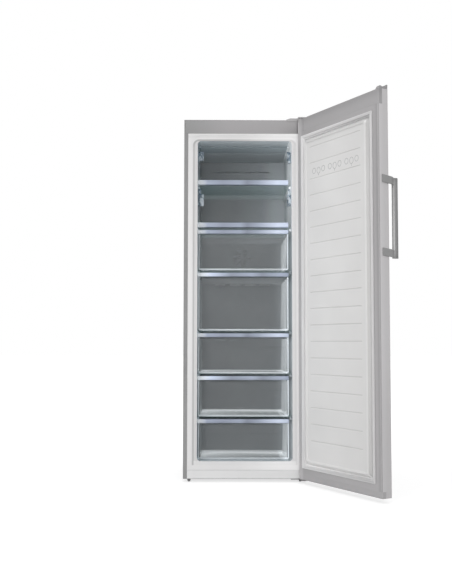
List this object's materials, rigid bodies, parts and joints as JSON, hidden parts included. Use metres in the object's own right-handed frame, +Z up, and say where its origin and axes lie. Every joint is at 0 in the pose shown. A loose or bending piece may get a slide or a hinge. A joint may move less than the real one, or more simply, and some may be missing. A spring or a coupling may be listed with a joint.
{
  "type": "upright freezer",
  "caption": "Tall steel upright freezer, door open, with clear drawers on glass shelves, flap compartments, ribbed door liner and bar handle.",
  "frame": {"origin": "on the floor, in the middle of the area that the freezer takes with its door open at 120 degrees", "axes": "+Z up from the floor, +Y from the cabinet's front face towards its back, +X to the right as seen from in front, where the door's hinges are"},
  "size_m": [0.9458, 1.1302, 1.783],
  "materials": {
    "painted_steel": "satin grey",
    "brushed_steel": "fine vertical brushing",
    "zinc_steel": "galvanised",
    "liner_white": "formed sheet, satin",
    "cap_grey": "satin",
    "seal_grey": "soft vinyl",
    "clear_plastic": "clear, slightly blue",
    "trim_silver": "silver foil",
    "clear_glass": "tempered sheet",
    "black_glass": "gloss black window",
    "handle_grey": "satin anodised",
    "black_enamel": "gloss black",
    "dark_plastic": "matte",
    "foam_cream": "rigid foam",
    "bare_aluminium": "mill finish",
    "copper": "bright tube"
  },
  "bodies": {
    "cabinet": {"outer_shell": "painted_steel", "top_band": "painted_steel", "inner_liner": "liner_white", "cabinet_foam": "foam_cream", "floor_sheet": "zinc_steel", "back_panel": "zinc_steel", "front_rail": "zinc_steel", "plinth": "liner_white", "base_tray": "zinc_steel", "duct_cover": "liner_white", "evaporator": "bare_aluminium", "fan_motor": "dark_plastic", "compressor": "black_enamel", "drain_pan": "dark_plastic", "refrigerant_pipe": "copper", "bay_cover": "zinc_steel", "top_hinge": "zinc_steel", "top_hinge_cover": "cap_grey", "bottom_hinge": "zinc_steel", "shelf_1": "clear_glass", "shelf_2": "clear_glass", "shelf_3": "clear_glass", "shelf_4": "clear_glass", "shelf_5": "clear_glass", "shelf_6": "clear_glass", "flap_pivot_1_left": "clear_plastic", "flap_pivot_1_right": "clear_plastic", "flap_pivot_2_left": "clear_plastic", "flap_pivot_2_right": "clear_plastic"},
    "door": {"door_skin": "brushed_steel", "door_foam": "foam_cream", "door_liner": "liner_white", "door_seal": "seal_grey", "door_top_cap": "cap_grey", "door_bottom_cap": "cap_grey", "display_glass": "black_glass", "handle_grip": "handle_grey", "handle_arm_upper": "handle_grey", "handle_arm_lower": "handle_grey", "blanking_cap_upper": "cap_grey", "blanking_cap_lower": "cap_grey"},
    "flap_1": {"flap_1": "clear_plastic", "flap_trim_1": "trim_silver"},
    "flap_2": {"flap_2": "clear_plastic", "flap_trim_2": "trim_silver"},
    "drawer_1": {"drawer_1": "clear_plastic", "drawer_trim_1": "trim_silver"},
    "drawer_2": {"drawer_2": "clear_plastic", "drawer_trim_2": "trim_silver"},
    "drawer_3": {"drawer_3": "clear_plastic", "drawer_trim_3": "trim_silver"},
    "drawer_4": {"drawer_4": "clear_plastic", "drawer_trim_4": "trim_silver"},
    "drawer_5": {"drawer_5": "clear_plastic", "drawer_trim_5": "trim_silver"},
    "fan": {"fan_blade": "dark_plastic"},
    "front_foot_left": {"front_foot_left": "dark_plastic"},
    "rear_roller_left": {"rear_roller_left": "dark_plastic"},
    "front_foot_right": {"front_foot_right": "dark_plastic"},
    "rear_roller_right": {"rear_roller_right": "dark_plastic"}
  },
  "joints": [
    {"name": "door_hinge", "type": "hinge", "parent": "cabinet", "child": "door", "pos_m": [0.10807, -0.05292, 0.9], "axis": [0, 0, 1], "range_deg": [-120, 0]},
    {"name": "flap_1_hinge", "type": "hinge", "parent": "cabinet", "child": "flap_1", "pos_m": [-0.17543, 0.04108, 1.593], "axis": [-1, 0, 0], "range_deg": [0, 90]},
    {"name": "flap_2_hinge", "type": "hinge", "parent": "cabinet", "child": "flap_2", "pos_m": [-0.17543, 0.04108, 1.38], "axis": [-1, 0, 0], "range_deg": [0, 90]},
    {"name": "drawer_1_slide", "type": "slide", "parent": "cabinet", "child": "drawer_1", "axis": [0, -1, 0], "range_m": [0, 0.3]},
    {"name": "drawer_2_slide", "type": "slide", "parent": "cabinet", "child": "drawer_2", "axis": [0, -1, 0], "range_m": [0, 0.3]},
    {"name": "drawer_3_slide", "type": "slide", "parent": "cabinet", "child": "drawer_3", "axis": [0, -1, 0], "range_m": [0, 0.3]},
    {"name": "drawer_4_slide", "type": "slide", "parent": "cabinet", "child": "drawer_4", "axis": [0, -1, 0], "range_m": [0, 0.3]},
    {"name": "drawer_5_slide", "type": "slide", "parent": "cabinet", "child": "drawer_5", "axis": [0, -1, 0], "range_m": [0, 0.24]},
    {"name": "fan_spin", "type": "hinge", "parent": "cabinet", "child": "fan", "pos_m": [-0.17543, 0.46358, 1.1285], "axis": [0, -1, 0], "continuous": true},
    {"name": "rear_roller_left_spin", "type": "hinge", "parent": "cabinet", "child": "rear_roller_left", "pos_m": [-0.42693, 0.53308, 0.012], "axis": [1, 0, 0], "continuous": true},
    {"name": "front_foot_left_turn", "type": "hinge", "parent": "cabinet", "child": "front_foot_left", "pos_m": [-0.44493, 0.00508, 0.008], "axis": [0, 0, 1], "continuous": true},
    {"name": "rear_roller_right_spin", "type": "hinge", "parent": "cabinet", "child": "rear_roller_right", "pos_m": [0.07607, 0.53308, 0.012], "axis": [1, 0, 0], "continuous": true},
    {"name": "front_foot_right_turn", "type": "hinge", "parent": "cabinet", "child": "front_foot_right", "pos_m": [0.09407, 0.00508, 0.008], "axis": [0, 0, 1], "continuous": true}
  ]
}
